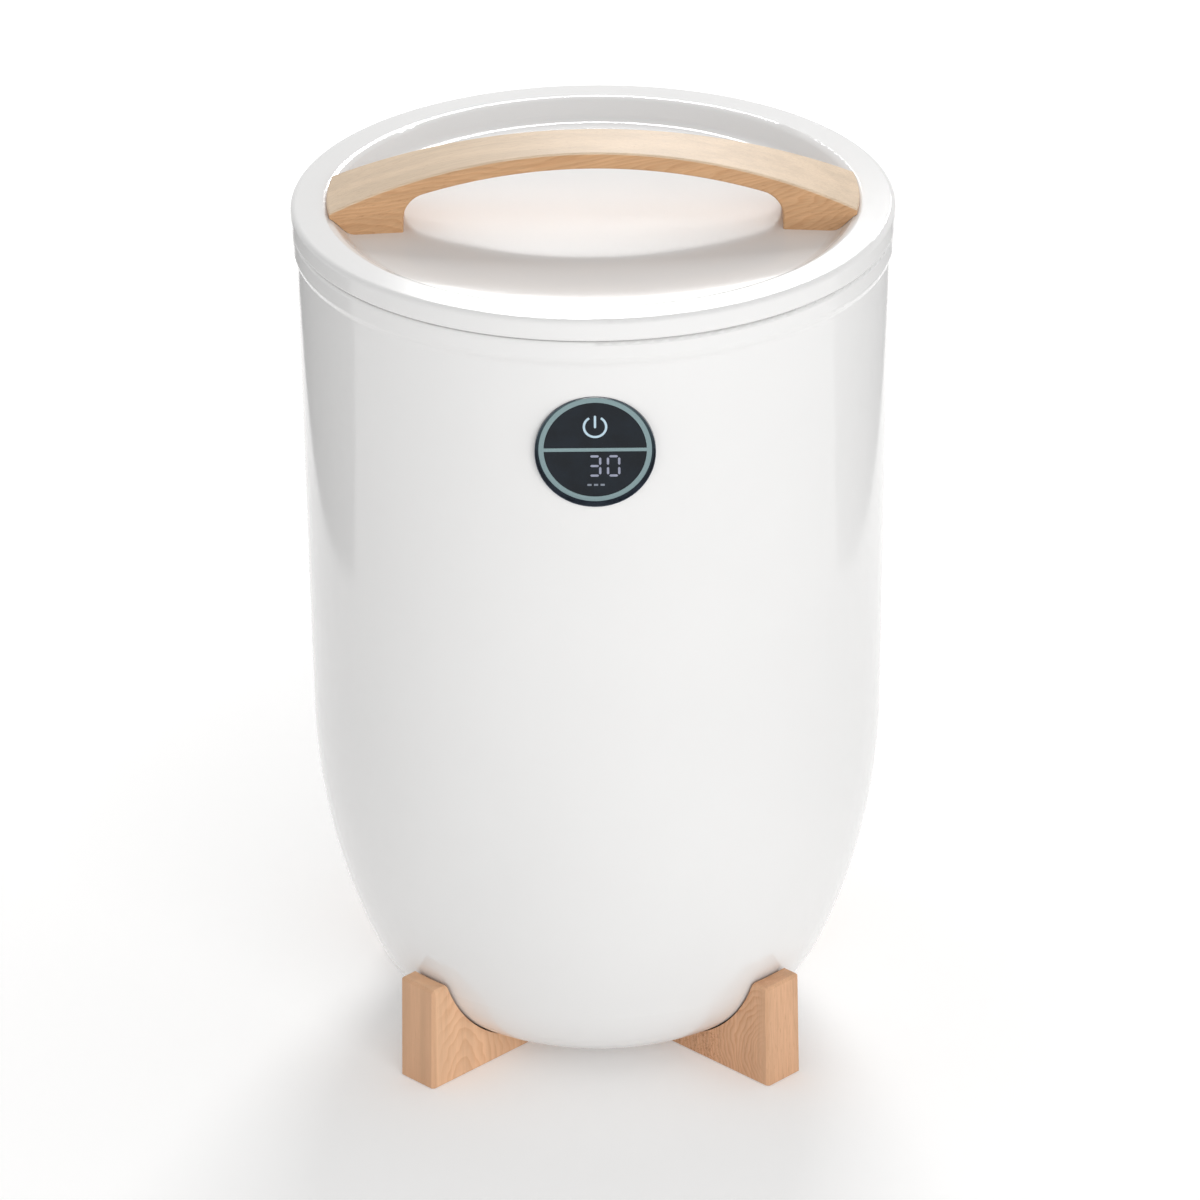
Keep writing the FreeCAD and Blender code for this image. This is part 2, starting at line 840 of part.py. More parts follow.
def foot_bed():
    """The body's room in the feet: a seat gap under the base, and a gap that opens up along the curve."""
    bed = body_solid(-foot_relief)
    bed.translate(UP * (foot_relief - seat_gap))
    return bed


def foot_beam(turn, keep_upper):
    """One beam of the cross, half lapped with the other at the middle, with ends that lean inwards."""
    low = foot_pad_proud
    end = foot_length / 2
    top_end = end - foot_draft
    side_view = outline((-end, low), (end, low), (top_end, foot_top_z), (-top_end, foot_top_z))
    beam = Part.Face(side_view).extrude(INWARD * foot_thickness)
    beam.translate(INWARD * (-foot_thickness / 2))
    top_edges = [edge for edge in beam.Edges if edge.CenterOfMass.z > low + foot_edge_bevel]
    beam = beam.makeChamfer(foot_edge_bevel, top_edges)
    lap = (base_z - low) / 2
    notch_width = foot_thickness + 2 * slide_gap
    notch_low = low - overrun if keep_upper else low + lap
    notch_height = lap + overrun if keep_upper else foot_top_z
    beam = beam.cut(block(notch_width, notch_width, notch_height + seat_gap, 0, 0, notch_low))
    for side in (-1, 1):
        x = side * (foot_length / 2 - foot_pad_inset)
        recess = foot_pad_thickness - foot_pad_proud
        beam = beam.cut(column(foot_pad_radius + seat_gap, x, 0, low - overrun, low + recess))
        seat = Vector(side * foot_screw_place, 0, plate_z + plate_thickness)
        beam = beam.cut(screw_hole(seat, UP * -1, foot_screw_radius, foot_screw_length))
    beam.rotate(ORIGIN, UP, turn)
    return beam.cut(foot_bed())


def make_foot_pads():
    spots = ring_of(4, foot_length / 2 - foot_pad_inset, 0, math.pi / 4)
    return Part.makeCompound([column(foot_pad_radius, spot.x, spot.y, 0, foot_pad_thickness)
                              for spot in spots])


def make_foot_screws():
    return Part.makeCompound([screw(seat, UP * -1, foot_screw_radius, foot_screw_length,
                                    foot_screw_head_radius, foot_screw_head_height)
                              for seat in foot_screw_seats()])


# Lid

def lid_wall_shift():
    """How far the lid wall's thickness moves its corners outwards."""
    run = rim_inner_radius - recess_floor_radius
    return lid_wall * (math.hypot(run, recess_depth) - run) / recess_depth


def make_lid_cover():
    inner_radius = lid_radius - lid_wall
    under_rim = rim_z - lid_wall
    under_floor = recess_z - lid_wall
    shift = lid_wall_shift()
    cover = spin(outline(
        (0, recess_z), (recess_floor_radius, recess_z, recess_floor_round),
        (rim_inner_radius, rim_z, rim_inner_round), (lid_radius, rim_z, lid_rim_round),
        (lid_radius, lid_bottom_z, lid_skirt_round), (inner_radius, lid_bottom_z),
        (inner_radius, under_rim), (rim_inner_radius + shift, under_rim, rim_inner_round - lid_wall),
        (recess_floor_radius + shift, under_floor, recess_floor_round + lid_wall), (0, under_floor)))
    for seat in lid_screw_seats():
        cover = cover.fuse(column(boss_radius, seat.x, seat.y, liner_bottom_z + liner_wall, under_floor))
    cutters = [screw_hole(seat, UP, lid_screw_radius, lid_screw_length) for seat in lid_screw_seats()]
    cutters += [screw_hole(seat, UP, handle_screw_radius, handle_screw_length)
                for seat in handle_screw_seats()]
    return cut_all(cover, cutters).removeSplitter()


def make_lid_liner():
    top = liner_flange_z + liner_wall
    inside = liner_radius - liner_wall
    floor = liner_bottom_z + liner_wall
    liner = spin(outline(
        (0, liner_bottom_z), (liner_radius, liner_bottom_z, liner_round), (liner_radius, liner_flange_z),
        (liner_flange_radius, liner_flange_z), (liner_flange_radius, top), (inside, top),
        (inside, floor, liner_round - liner_wall), (0, floor)))
    return cut_all(liner, [screw_hole(seat, UP, lid_screw_radius, lid_screw_length)
                           for seat in lid_screw_seats()])


def make_lid_seal():
    low = seam_z + bucket_wall
    return spin(outline((seal_inner_radius, low, seal_round), (seal_outer_radius, low, seal_round),
                        (seal_outer_radius, liner_flange_z), (seal_inner_radius, liner_flange_z)))


def make_lid_insulation():
    low = liner_bottom_z + liner_wall + seat_gap
    high = recess_z - lid_wall - seat_gap
    foam = column(foam_radius, 0, 0, low, high)
    cutters = [column(boss_radius + slide_gap, seat.x, seat.y, low, high) for seat in lid_screw_seats()]
    cutters += [column(handle_screw_head_radius + slide_gap, seat.x, seat.y, low, high)
                for seat in handle_screw_seats()]
    return cut_all(foam, cutters)


def make_lid_screws():
    return Part.makeCompound([screw(seat, UP, lid_screw_radius, lid_screw_length, lid_screw_head_radius,
                                    lid_screw_head_height) for seat in lid_screw_seats()])


def make_handle_screws():
    return Part.makeCompound([screw(seat, UP, handle_screw_radius, handle_screw_length,
                                    handle_screw_head_radius, handle_screw_head_height)
                              for seat in handle_screw_seats()])


def arch_wire():
    """Side view of the handle: concentric arcs, with a rounded corner above each foot."""
    top_z = rim_z + handle_rise
    centre = Vector(0, 0, top_z - handle_top_arc)
    under_arc = handle_top_arc - handle_thickness
    inner_x = handle_foot_inner - handle_inner_round
    round_z = centre.z + math.sqrt((under_arc - handle_inner_round) ** 2 - inner_x ** 2)
    edge_z = centre.z + math.sqrt(handle_top_arc ** 2 - lid_radius ** 2)
    right_round = Vector(inner_x, 0, round_z)
    left_round = Vector(-inner_x, 0, round_z)
    right_top = toward(right_round, centre, -handle_inner_round)
    left_top = toward(left_round, centre, -handle_inner_round)
    right_side = Vector(handle_foot_inner, 0, round_z)
    left_side = Vector(-handle_foot_inner, 0, round_z)
    right_foot = Vector(handle_foot_inner, 0, recess_z)
    left_foot = Vector(-handle_foot_inner, 0, recess_z)
    right_low = Vector(lid_radius, 0, recess_z)
    left_low = Vector(-lid_radius, 0, recess_z)
    right_edge = Vector(lid_radius, 0, edge_z)
    left_edge = Vector(-lid_radius, 0, edge_z)
    return Part.Wire([
        arc_about(centre, left_edge, right_edge),
        line(right_edge, right_low),
        line(right_low, right_foot),
        line(right_foot, right_side),
        arc_about(right_round, right_side, right_top),
        arc_about(centre, right_top, left_top),
        arc_about(left_round, left_top, left_side),
        line(left_side, left_foot),
        line(left_foot, left_low),
        line(left_low, left_edge),
    ])


def handle_plan():
    """Plan of the handle: narrow in the middle, with ends that follow the rim."""
    half_end = handle_end_width / 2
    half_mid = handle_mid_width / 2
    end_x = math.sqrt(handle_end_radius ** 2 - half_end ** 2)
    spots = [Vector(-end_x, -half_end, 0), Vector(end_x, -half_end, 0),
             Vector(end_x, half_end, 0), Vector(-end_x, half_end, 0)]
    middles = [Vector(0, -half_mid, 0), Vector(handle_end_radius, 0, 0),
               Vector(0, half_mid, 0), Vector(-handle_end_radius, 0, 0)]
    edges = [Part.Arc(spots[side], middles[side], spots[(side + 1) % 4]).toShape() for side in range(4)]
    return Part.Face(Part.Wire(edges)).extrude(Vector(0, 0, rim_z + 2 * handle_rise))


def lid_bed():
    """The room under the lid's upper face, kept a seat gap off the sloping wall."""
    low = recess_z - recess_depth
    return spin(outline(
        (0, recess_z), (recess_floor_radius - seat_gap, recess_z, recess_floor_round),
        (rim_inner_radius - seat_gap, rim_z + seat_gap, rim_inner_round), (lid_radius, rim_z + seat_gap),
        (lid_radius, low), (0, low)))


def make_lid_handle():
    arch = Part.Face(arch_wire()).extrude(Vector(0, handle_end_width, 0))
    arch.translate(Vector(0, -handle_end_width / 2, 0))
    handle = arch.common(handle_plan()).cut(lid_bed())
    high_edges = [edge for edge in handle.Edges
                  if edge.BoundBox.ZMin > rim_z + slide_gap and edge.BoundBox.ZLength > seat_gap]
    handle = handle.makeFillet(handle_edge_round, high_edges)
    return cut_all(handle, [screw_hole(seat, UP, handle_screw_radius, handle_screw_length)
                            for seat in handle_screw_seats()])


# Control panel

def make_control_bezel():
    lip = panel_disc(panel_lip_radius, 0, panel_tube_length).cut(body_solid(-seat_gap))
    tube = panel_disc(panel_tube_radius, panel_lip_proud, panel_tube_length)
    dish_mouth = panel_lip_radius - panel_lip_edge
    dish = Part.makeCone(dish_mouth, dish_radius, dish_depth, panel_point(0, 0, 0), INWARD)
    bore = panel_disc(panel_bore_radius, dish_depth, panel_tube_length)
    hole = loom_hole()
    return lip.fuse(tube).cut(dish).cut(bore).cut(hole).removeSplitter()


def loom_hole():
    """Passage for the signal loom through the panel's lower side."""
    points = loom_points()
    run = points[-1] - points[-2]
    return Part.makeCylinder(loom_radius + slide_gap, run.Length, points[-2], run)


def make_control_frame():
    ring = panel_disc(frame_radius, dish_depth, frame_back)
    for side in (-1, 1):
        ring = ring.cut(panel_half(frame_inner_radius, divider_width / 2, side, dish_depth, frame_back))
    return ring


def panel_glass(side):
    margin = divider_width / 2 + glass_gap
    back = glass_front + glass_thickness
    return panel_half(frame_inner_radius - glass_gap, margin, side, glass_front, back)


def make_button_carrier():
    margin = divider_width / 2 + glass_gap
    neck_radius = frame_inner_radius - glass_gap
    neck = panel_half(neck_radius, margin, 1, glass_front + glass_thickness, carrier_front)
    plate = panel_half(carrier_radius, seat_gap, 1, carrier_front, carrier_back)
    boss = Part.makeCylinder(carrier_boss_radius, carrier_boss_length,
                             panel_point(0, switch_place, carrier_back), INWARD)
    return neck.fuse(plate).fuse(boss).removeSplitter()


def make_tact_switch():
    body_front = switch_tip + switch_tip_length
    tip_end = panel_point(0, switch_place, switch_tip)
    tip = Part.makeCylinder(switch_tip_radius, switch_tip_length, tip_end, INWARD)
    body = panel_block(switch_size, switch_size, 0, switch_place, body_front, control_board_front)
    return tip.fuse(body).removeSplitter()


def make_display_module():
    z = -module_top_drop - module_height / 2
    return panel_block(module_length, module_height, module_x, z, glass_front + glass_thickness,
                       control_board_front)


def make_control_housing():
    inside = frame_radius - housing_wall
    shoulder_front = control_board_front - shoulder_thickness
    sleeve = panel_disc(frame_radius, frame_back, housing_flange_front)
    flange = panel_disc(housing_flange_radius, housing_flange_front, cover_front)
    ears = panel_block(housing_ear_span, housing_ear_height, 0, 0, housing_flange_front, cover_front)
    ears = ears.common(body_solid(shell_wall + seat_gap))
    housing = sleeve.fuse(flange).fuse(ears)
    cutters = [panel_disc(inside, frame_back, shoulder_front),
               panel_disc(shoulder_radius, frame_back, cover_front),
               panel_disc(inside, control_board_front, cover_front), loom_hole()]
    cutters += [screw_hole(seat, INWARD * -1, housing_screw_radius, housing_screw_length)
                for seat in housing_screw_seats()]
    cutters += [screw_hole(seat, INWARD * -1, cover_screw_radius, cover_screw_length)
                for seat in cover_screw_seats()]
    return cut_all(housing, cutters).removeSplitter()


def make_control_board():
    radius = frame_radius - housing_wall - control_board_gap
    return panel_disc(radius, control_board_front, control_board_front + board_thickness)


def make_control_cover():
    rib_radius = frame_radius - housing_wall - control_board_gap
    rib = panel_disc(rib_radius, control_board_front + board_thickness, cover_front)
    rib = rib.cut(panel_disc(rib_radius - cover_rib_wall, control_board_front, cover_front))
    cover = panel_disc(housing_flange_radius, cover_front, cover_front + cover_thickness)
    return cut_all(cover.fuse(rib), [screw_hole(seat, INWARD * -1, cover_screw_radius, cover_screw_length)
                                     for seat in cover_screw_seats()]).removeSplitter()


def make_housing_screws():
    return Part.makeCompound([screw(seat, INWARD * -1, housing_screw_radius, housing_screw_length,
                                    housing_screw_head_radius, housing_screw_head_height)
                              for seat in housing_screw_seats()])


def make_cover_screws():
    return Part.makeCompound([screw(seat, INWARD * -1, cover_screw_radius, cover_screw_length,
                                    cover_screw_head_radius, cover_screw_head_height)
                              for seat in cover_screw_seats()])


parts = {
    "shell_front": shell_half(-1),
    "shell_back": shell_half(1),
    "top_collar": make_top_collar(),
    "inner_bucket": make_inner_bucket(),
    "heater_band": make_heater_band(),
    "insulation_jacket": make_insulation_jacket(),
    "base_insulation": make_base_insulation(),
    "thermostat": make_thermostat(),
    "fuse_holder": make_fuse_holder(),
    "thermal_fuse": make_thermal_fuse(),
    "sensor_strap": make_sensor_strap(),
    "strap_studs": make_strap_studs(),
    "strap_nuts": make_strap_nuts(),
    "floor_plate": make_floor_plate(),
    "board_standoffs": make_board_standoffs(),
    "power_board": make_power_board(),
    "board_screws": make_board_screws(),
    "power_relay": make_power_relay(),
    "terminal_block": make_terminal_block(),
    "loom_connector": make_loom_connector(),
    "signal_loom": make_signal_loom(),
    "heater_leads": make_heater_leads(),
    "cord_gland": make_cord_gland(),
    "gland_nut": make_gland_nut(),
    "foot_beam_a": foot_beam(45, False),
    "foot_beam_b": foot_beam(-45, True),
    "foot_screws": make_foot_screws(),
    "foot_pads": make_foot_pads(),
    "lid_cover": make_lid_cover(),
    "lid_liner": make_lid_liner(),
    "lid_insulation": make_lid_insulation(),
    "lid_seal": make_lid_seal(),
    "lid_screws": make_lid_screws(),
    "lid_handle": make_lid_handle(),
    "handle_screws": make_handle_screws(),
    "control_bezel": make_control_bezel(),
    "control_frame": make_control_frame(),
    "display_window": panel_glass(-1),
    "display_module": make_display_module(),
    "control_housing": make_control_housing(),
    "control_board": make_control_board(),
    "control_cover": make_control_cover(),
    "housing_screws": make_housing_screws(),
    "cover_screws": make_cover_screws(),
    "tact_switch": make_tact_switch(),
    "power_button": panel_glass(1),
    "button_carrier": make_button_carrier(),
}

os.makedirs("parts", exist_ok=True)
for name, shape in parts.items():
    shape.exportStep("parts/" + name + ".step")
    print(name, len(shape.Solids), round(shape.Volume), shape.isValid())
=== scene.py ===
import bmesh
import bpy
import json
import math
from mathutils import Matrix, Vector


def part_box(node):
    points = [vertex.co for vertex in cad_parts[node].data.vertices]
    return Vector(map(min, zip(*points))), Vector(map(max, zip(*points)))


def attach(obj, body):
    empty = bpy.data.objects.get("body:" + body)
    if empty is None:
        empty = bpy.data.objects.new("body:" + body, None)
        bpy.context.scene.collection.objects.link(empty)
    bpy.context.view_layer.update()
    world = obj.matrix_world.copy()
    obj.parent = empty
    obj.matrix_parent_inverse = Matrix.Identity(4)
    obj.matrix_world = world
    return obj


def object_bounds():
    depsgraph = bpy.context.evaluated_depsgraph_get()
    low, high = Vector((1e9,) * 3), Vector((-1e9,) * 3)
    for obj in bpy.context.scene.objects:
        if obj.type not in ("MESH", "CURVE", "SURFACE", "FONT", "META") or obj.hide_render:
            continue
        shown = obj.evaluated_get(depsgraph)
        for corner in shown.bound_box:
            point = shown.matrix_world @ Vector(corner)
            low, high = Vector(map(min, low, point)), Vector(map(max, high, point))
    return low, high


# Bucket towel warmer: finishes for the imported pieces, the panel's lit signs, a white studio and the camera.
# Metres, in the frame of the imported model: +Z up, the panel faces -Y, the origin is on the floor.

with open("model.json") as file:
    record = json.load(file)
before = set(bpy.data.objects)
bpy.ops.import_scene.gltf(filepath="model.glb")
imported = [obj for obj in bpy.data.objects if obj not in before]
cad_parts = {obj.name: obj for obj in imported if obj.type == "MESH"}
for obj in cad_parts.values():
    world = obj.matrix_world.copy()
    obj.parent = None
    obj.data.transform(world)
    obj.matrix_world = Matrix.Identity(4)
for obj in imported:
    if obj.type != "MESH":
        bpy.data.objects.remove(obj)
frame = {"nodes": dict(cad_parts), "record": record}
cad_low, cad_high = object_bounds()

# Photograph's camera, whose image is taken as a square
image_width = 1200.0
focal_pixels = 7352.0
centre_pixel = 596.5
sensor_width = 36.0
camera_back = 3.6907
camera_height = 2.0631
camera_pitch = math.radians(26.164)
camera_roll = math.radians(-0.495)

# Lit signs on the panel's glass, measured from the panel's centre
sign_depth = 0.00010
sign_sink = 0.00003
symbol_rise = 0.0133
symbol_radius = 0.0059
symbol_stroke = 0.00122
symbol_gap = math.radians(64)
symbol_bar_low = 0.0125
symbol_bar_high = 0.0198
symbol_steps = 48
bar_end_steps = 8
digit_top = -0.0033
digit_height = 0.0125
digit_width = 0.0072
digit_lefts = (-0.0040, 0.0061)
digit_stroke = 0.00125
digit_gap = 0.0006
dash_rise = -0.0206
dash_length = 0.0022
dash_height = 0.0011
dash_places = (-0.0032, 0.0003, 0.0038)

# Grain of the wood: how long fibres are drawn out, and how much the late wood darkens red, green and blue
fibre_share = 0.045
late_shares = (0.6, 1.1, 1.5)

# Handle: a swirl is (scale, stretch along X, Y and Z), and the sag is how far the arch drops to its ends
handle_swirl = (60.0, (0.6, 1.0, 0.2))
handle_bend = 7.0
handle_sag = 0.03145
# How deep under the handle's top face the wood is left paler, as a painted sheen
painted_sheen_depth = 0.0012
handle_grain_rise = math.radians(12)
handle_layer_lean = math.radians(70)
handle_layer_spacing = 0.0011

# Feet: a room is a distance from the foot's outer end, and two rooms are where a fade starts and ends.
# A heart is (room, height, how much taller than wide the rings round it are).
foot_thickness = 0.0264
line_rooms = (0.001, 0.012)
mottle_rooms = (0.031, 0.042)
# Rooms over which the painted shade on a foot's end fades out
painted_shade_rooms = (0.0010, 0.0024)
foot_swirl = (70.0, (0.4, 1.0, 0.7))
foot_layer_spacings = (0.0046, 0.0026)
foot_hearts = ((0.022, -0.006, 1.9), (-0.004, 0.017, 1.3))

# Depths of the fine textures
gloss_depth = 0.00001
fibre_depth = 0.00005
felt_depth = 0.0006
weave_depth = 0.00003
bucket_depth = 0.00001
plating_depth = 0.00002
turning_depth = 0.00002
seal_depth = 0.00004
heater_depth = 0.00010
casing_depth = 0.00004
connector_depth = 0.00003
lead_depth = 0.00002
pad_depth = 0.00008

# Studio
floor_reach = 12.0
key_place = (0.30, 2.40, 2.15)
key_size = 1.0
key_power = 42.0
fill_place = (1.10, -3.22, 1.40)
fill_size = 2.4
fill_power = 51.0
world_level = 0.52
# The floor's shown glow is lower near the object, as painted shade that deepens its shadow, and fades up to
# the far glow
floor_glow = 0.17
floor_far_glow = 0.42
floor_fade_start = 0.20
floor_fade_end = 1.10
floor_bounce = 0.11

# Grey sheets beside the object: (x, y) of the two corners nearer to it and of the two farther away
flag_near = ((0.70, 0.15), (0.43, 0.96))
flag_far = ((1.60, 0.24), (1.60, 2.40))
flag_rise = 0.001
flag_left_level = 0.34
flag_right_level = 0.55


# Shader building

class Finish:
    """A material with one Principled shader, and short calls that add nodes to it."""

    def __init__(self, name, color, roughness, metallic=0.0, specular=0.5):
        self.material = bpy.data.materials.new(name)
        self.material.use_nodes = True
        self.material.diffuse_color = (*color, 1.0)
        self.tree = self.material.node_tree
        self.shader = self.tree.nodes["Principled BSDF"]
        self.set("Base Color", (*color, 1.0))
        self.set("Roughness", roughness)
        self.set("Metallic", metallic)
        self.set("Specular IOR Level", specular)
        self.coordinates = self.tree.nodes.new("ShaderNodeTexCoord").outputs["Object"]

    def set(self, socket, value):
        self.shader.inputs[socket].default_value = value

    def feed(self, socket, value):
        """Gives a node's socket a plain number, a colour or another node's output."""
        if isinstance(value, (float, tuple)):
            socket.default_value = value
        else:
            self.tree.links.new(value, socket)

    def link(self, output, socket):
        self.tree.links.new(output, self.shader.inputs[socket])

    def place(self, stretch=(1.0, 1.0, 1.0), turn=(0.0, 0.0, 0.0), source=None):
        """Coordinates stretched, then turned."""
        node = self.tree.nodes.new("ShaderNodeMapping")
        node.inputs["Rotation"].default_value = turn
        node.inputs["Scale"].default_value = stretch
        self.tree.links.new(source or self.coordinates, node.inputs["Vector"])
        return node.outputs["Vector"]

    def noise(self, scale, detail=3.0, rough=0.55, distortion=0.0, place=None):
        node = self.tree.nodes.new("ShaderNodeTexNoise")
        node.inputs["Scale"].default_value = scale
        node.inputs["Detail"].default_value = detail
        node.inputs["Roughness"].default_value = rough
        node.inputs["Distortion"].default_value = distortion
        self.tree.links.new(place or self.coordinates, node.inputs["Vector"])
        return node.outputs["Fac"]

    def math(self, operation, *values):
        """One step of arithmetic on outputs of other nodes and plain numbers."""
        node = self.tree.nodes.new("ShaderNodeMath")
        node.operation = operation
        for socket, value in zip(node.inputs, values):
            self.feed(socket, value)
        return node.outputs["Value"]

    def split(self, place):
        """X, Y and Z of placed coordinates."""
        node = self.tree.nodes.new("ShaderNodeSeparateXYZ")
        self.tree.links.new(place, node.inputs["Vector"])
        return node.outputs["X"], node.outputs["Y"], node.outputs["Z"]

    def diagonal(self, across, rise):
        """Length of the way that goes both across and up."""
        rise_square = self.math("MULTIPLY", rise, rise)
        return self.math("SQRT", self.math("MULTIPLY_ADD", across, across, rise_square))

    def layers(self, distance, spacing, swirl, bend):
        """Layers along a distance, bent by a swirl: each rises from 0 to 1 and drops back."""
        count = self.math("DIVIDE", distance, spacing)
        return self.math("FRACT", self.math("MULTIPLY_ADD", swirl, bend, count))

    def cells(self, scale):
        node = self.tree.nodes.new("ShaderNodeTexVoronoi")
        node.inputs["Scale"].default_value = scale
        self.tree.links.new(self.coordinates, node.inputs["Vector"])
        return node.outputs["Distance"]

    def ramp(self, value, *stops):
        """Colours along a value: each stop is (place, colour)."""
        node = self.tree.nodes.new("ShaderNodeValToRGB")
        points = node.color_ramp.elements
        while len(points) < len(stops):
            points.new(1.0)
        for point, (place, color) in zip(points, stops):
            point.position = place
            point.color = (*color, 1.0)
        self.tree.links.new(value, node.inputs["Fac"])
        return node.outputs["Color"]

    def spread(self, value, low, high, from_low=0.3, from_high=0.7):
        """The value's usual range stretched to low and high."""
        node = self.tree.nodes.new("ShaderNodeMapRange")
        node.inputs["From Min"].default_value = from_low
        node.inputs["From Max"].default_value = from_high
        node.inputs["To Min"].default_value = low
        node.inputs["To Max"].default_value = high
        self.tree.links.new(value, node.inputs["Value"])
        return node.outputs["Result"]

    def tint(self, color, shade, strength):
        """The colour multiplied by a shade, as much as the strength says."""
        node = self.tree.nodes.new("ShaderNodeMix")
        node.data_type = "RGBA"
        node.blend_type = "MULTIPLY"
        self.feed(node.inputs["Factor"], strength)
        self.tree.links.new(color, node.inputs["A"])
        self.feed(node.inputs["B"], shade)
        return node.outputs["Result"]

    def bump(self, height, depth, strength=1.0):
        node = self.tree.nodes.new("ShaderNodeBump")
        node.inputs["Strength"].default_value = strength
        node.inputs["Distance"].default_value = depth
        self.tree.links.new(height, node.inputs["Height"])
        self.link(node.outputs["Normal"], "Normal")


def shades(color, *factors):
    """The colour made darker or lighter by each factor."""
    return [tuple(channel * factor for channel in color) for factor in factors]


# Finishes

def white_gloss():
    white = (0.865, 0.861, 0.855)
    finish = Finish("white_gloss", white, roughness=0.10, specular=0.5)
    dark, light = shades(white, 0.985, 1.0)
    clouds = finish.noise(scale=7.0, detail=2.0)
    finish.link(finish.ramp(clouds, (0.35, dark), (0.65, light)), "Base Color")
    finish.link(finish.spread(finish.noise(scale=420.0, detail=3.0), 0.09, 0.12), "Roughness")
    finish.bump(finish.noise(scale=1600.0, detail=2.0), depth=gloss_depth, strength=0.12)
    return finish.material


def wood(name, tone, painted_shade, turn, growth, contrast, fibre):
    """Beech with its grain along the turned Z: growth layers, fine fibres and short dark flecks.

    growth gives the layers, how plainly they show, how mottled the wood is and how much painted shade
    it has. The shade colour multiplies the wood there as painted shade: on the handle it darkens all but the
    top face, which stays paler as a painted sheen, and on the front left foot it darkens the end. contrast is
    how dark each layer's late wood is, and fibre how plainly the fibres show."""
    finish = Finish(name, tone, roughness=0.50, specular=0.4)
    grain = finish.place(turn=turn)
    layers, line_strength, mottle_strength, painted_shade_strength = growth(finish, grain)
    fibre_place = finish.place(stretch=(1.0, 1.0, fibre_share), source=grain)
    bands = finish.noise(scale=110.0, detail=2.0, place=fibre_place)
    band_dark, band_light = shades(tone, 0.90, 1.02)
    color = finish.ramp(bands, (0.35, band_dark), (0.62, band_light))
    # Painted shade: on the handle all but the top face is darkened, so the top stays paler as a painted
    # sheen; on the front left foot the end is darkened
    color = finish.tint(color, (*painted_shade, 1.0), painted_shade_strength)
    plain, pale = (1.0, 1.0, 1.0), (1.04, 1.04, 1.04)
    curl_dark, fibre_dark, fleck_dark = (0.62, 0.50, 0.42), (0.88, 0.85, 0.82), (0.66, 0.54, 0.46)
    late = tuple(1.0 - contrast * share for share in late_shares)
    lines = finish.ramp(layers, (0.0, pale), (0.40, plain), (0.88, late), (1.0, pale))
    color = finish.tint(color, lines, line_strength)
    curls = finish.noise(scale=330.0, detail=2.0, distortion=2.5, place=grain)
    color = finish.tint(color, finish.ramp(curls, (0.36, curl_dark), (0.50, plain)), mottle_strength)
    fibres = finish.noise(scale=1100.0, detail=5.0, rough=0.6, place=fibre_place)
    color = finish.tint(color, finish.ramp(fibres, (0.35, fibre_dark), (0.65, pale)), fibre)
    flecks = finish.noise(scale=2600.0, detail=1.0, place=fibre_place)
    color = finish.tint(color, finish.ramp(flecks, (0.25, fleck_dark), (0.33, plain)), 0.9 * fibre)
    finish.link(color, "Base Color")
    finish.link(finish.spread(fibres, 0.44, 0.56), "Roughness")
    finish.bump(finish.math("ADD", fibres, flecks), depth=fibre_depth, strength=0.4)
    return finish.material


def black_panel():
    black = (0.0045, 0.0085, 0.0140)
    finish = Finish("black_panel", black, roughness=0.06, specular=0.24)
    dark, light = shades(black, 0.8, 1.3)
    finish.link(finish.ramp(finish.noise(scale=90.0), (0.35, dark), (0.65, light)), "Base Color")
    finish.link(finish.spread(finish.noise(scale=700.0, detail=4.0), 0.04, 0.10), "Roughness")
    return finish.material


def panel_frame():
    silver = (0.245, 0.340, 0.355)
    finish = Finish("panel_frame", silver, roughness=0.26, metallic=0.75)
    dark, light = shades(silver, 0.90, 1.08)
    flakes = finish.cells(scale=5200.0)
    finish.link(finish.ramp(flakes, (0.2, light), (0.6, dark)), "Base Color")
    finish.link(finish.spread(finish.noise(scale=1500.0), 0.28, 0.40), "Roughness")
    return finish.material


def panel_bezel():
    steel = (0.058, 0.070, 0.089)
    finish = Finish("panel_bezel", steel, roughness=0.14, metallic=1.0)
    dark, light = shades(steel, 0.9, 1.1)
    finish.link(finish.ramp(finish.noise(scale=160.0), (0.35, dark), (0.65, light)), "Base Color")
    finish.link(finish.spread(finish.noise(scale=900.0), 0.11, 0.20), "Roughness")
    return finish.material


def brushed(name, color, roughness, stretch, scale, depth):
    """Bare metal with fine lines across the stretched direction."""
    finish = Finish(name, color, roughness=roughness, metallic=1.0)
    lines = finish.noise(scale=scale, detail=4.0, place=finish.place(stretch=stretch))
    dark, light = shades(color, 0.88, 1.05)
    finish.link(finish.ramp(lines, (0.3, dark), (0.7, light)), "Base Color")
    finish.link(finish.spread(lines, roughness * 0.8, roughness * 1.25), "Roughness")
    finish.bump(lines, depth=depth, strength=0.4)
    return finish.material


def moulded(name, color, roughness, scale, depth):
    """Moulded plastic or rubber with a fine surface texture."""
    finish = Finish(name, color, roughness=roughness, specular=0.4)
    dark, light = shades(color, 0.88, 1.10)
    finish.link(finish.ramp(finish.noise(scale=scale / 12), (0.35, dark), (0.65, light)), "Base Color")
    texture = finish.noise(scale=scale, detail=3.0)
    finish.link(finish.spread(texture, roughness * 0.85, roughness * 1.15), "Roughness")
    finish.bump(texture, depth=depth, strength=0.5)
    return finish.material


def wool_felt():
    cream = (0.80, 0.775, 0.70)
    finish = Finish("insulation_wool", cream, roughness=0.95, specular=0.15)
    finish.set("Sheen Weight", 0.3)
    hairs = finish.noise(scale=900.0, detail=6.0, rough=0.7, distortion=1.8)
    clumps = finish.cells(scale=240.0)
    dark, light = shades(cream, 0.72, 1.08)
    color = finish.ramp(hairs, (0.3, dark), (0.62, light))
    finish.link(color, "Base Color")
    finish.bump(finish.math("ADD", hairs, clumps), depth=felt_depth, strength=0.8)
    return finish.material


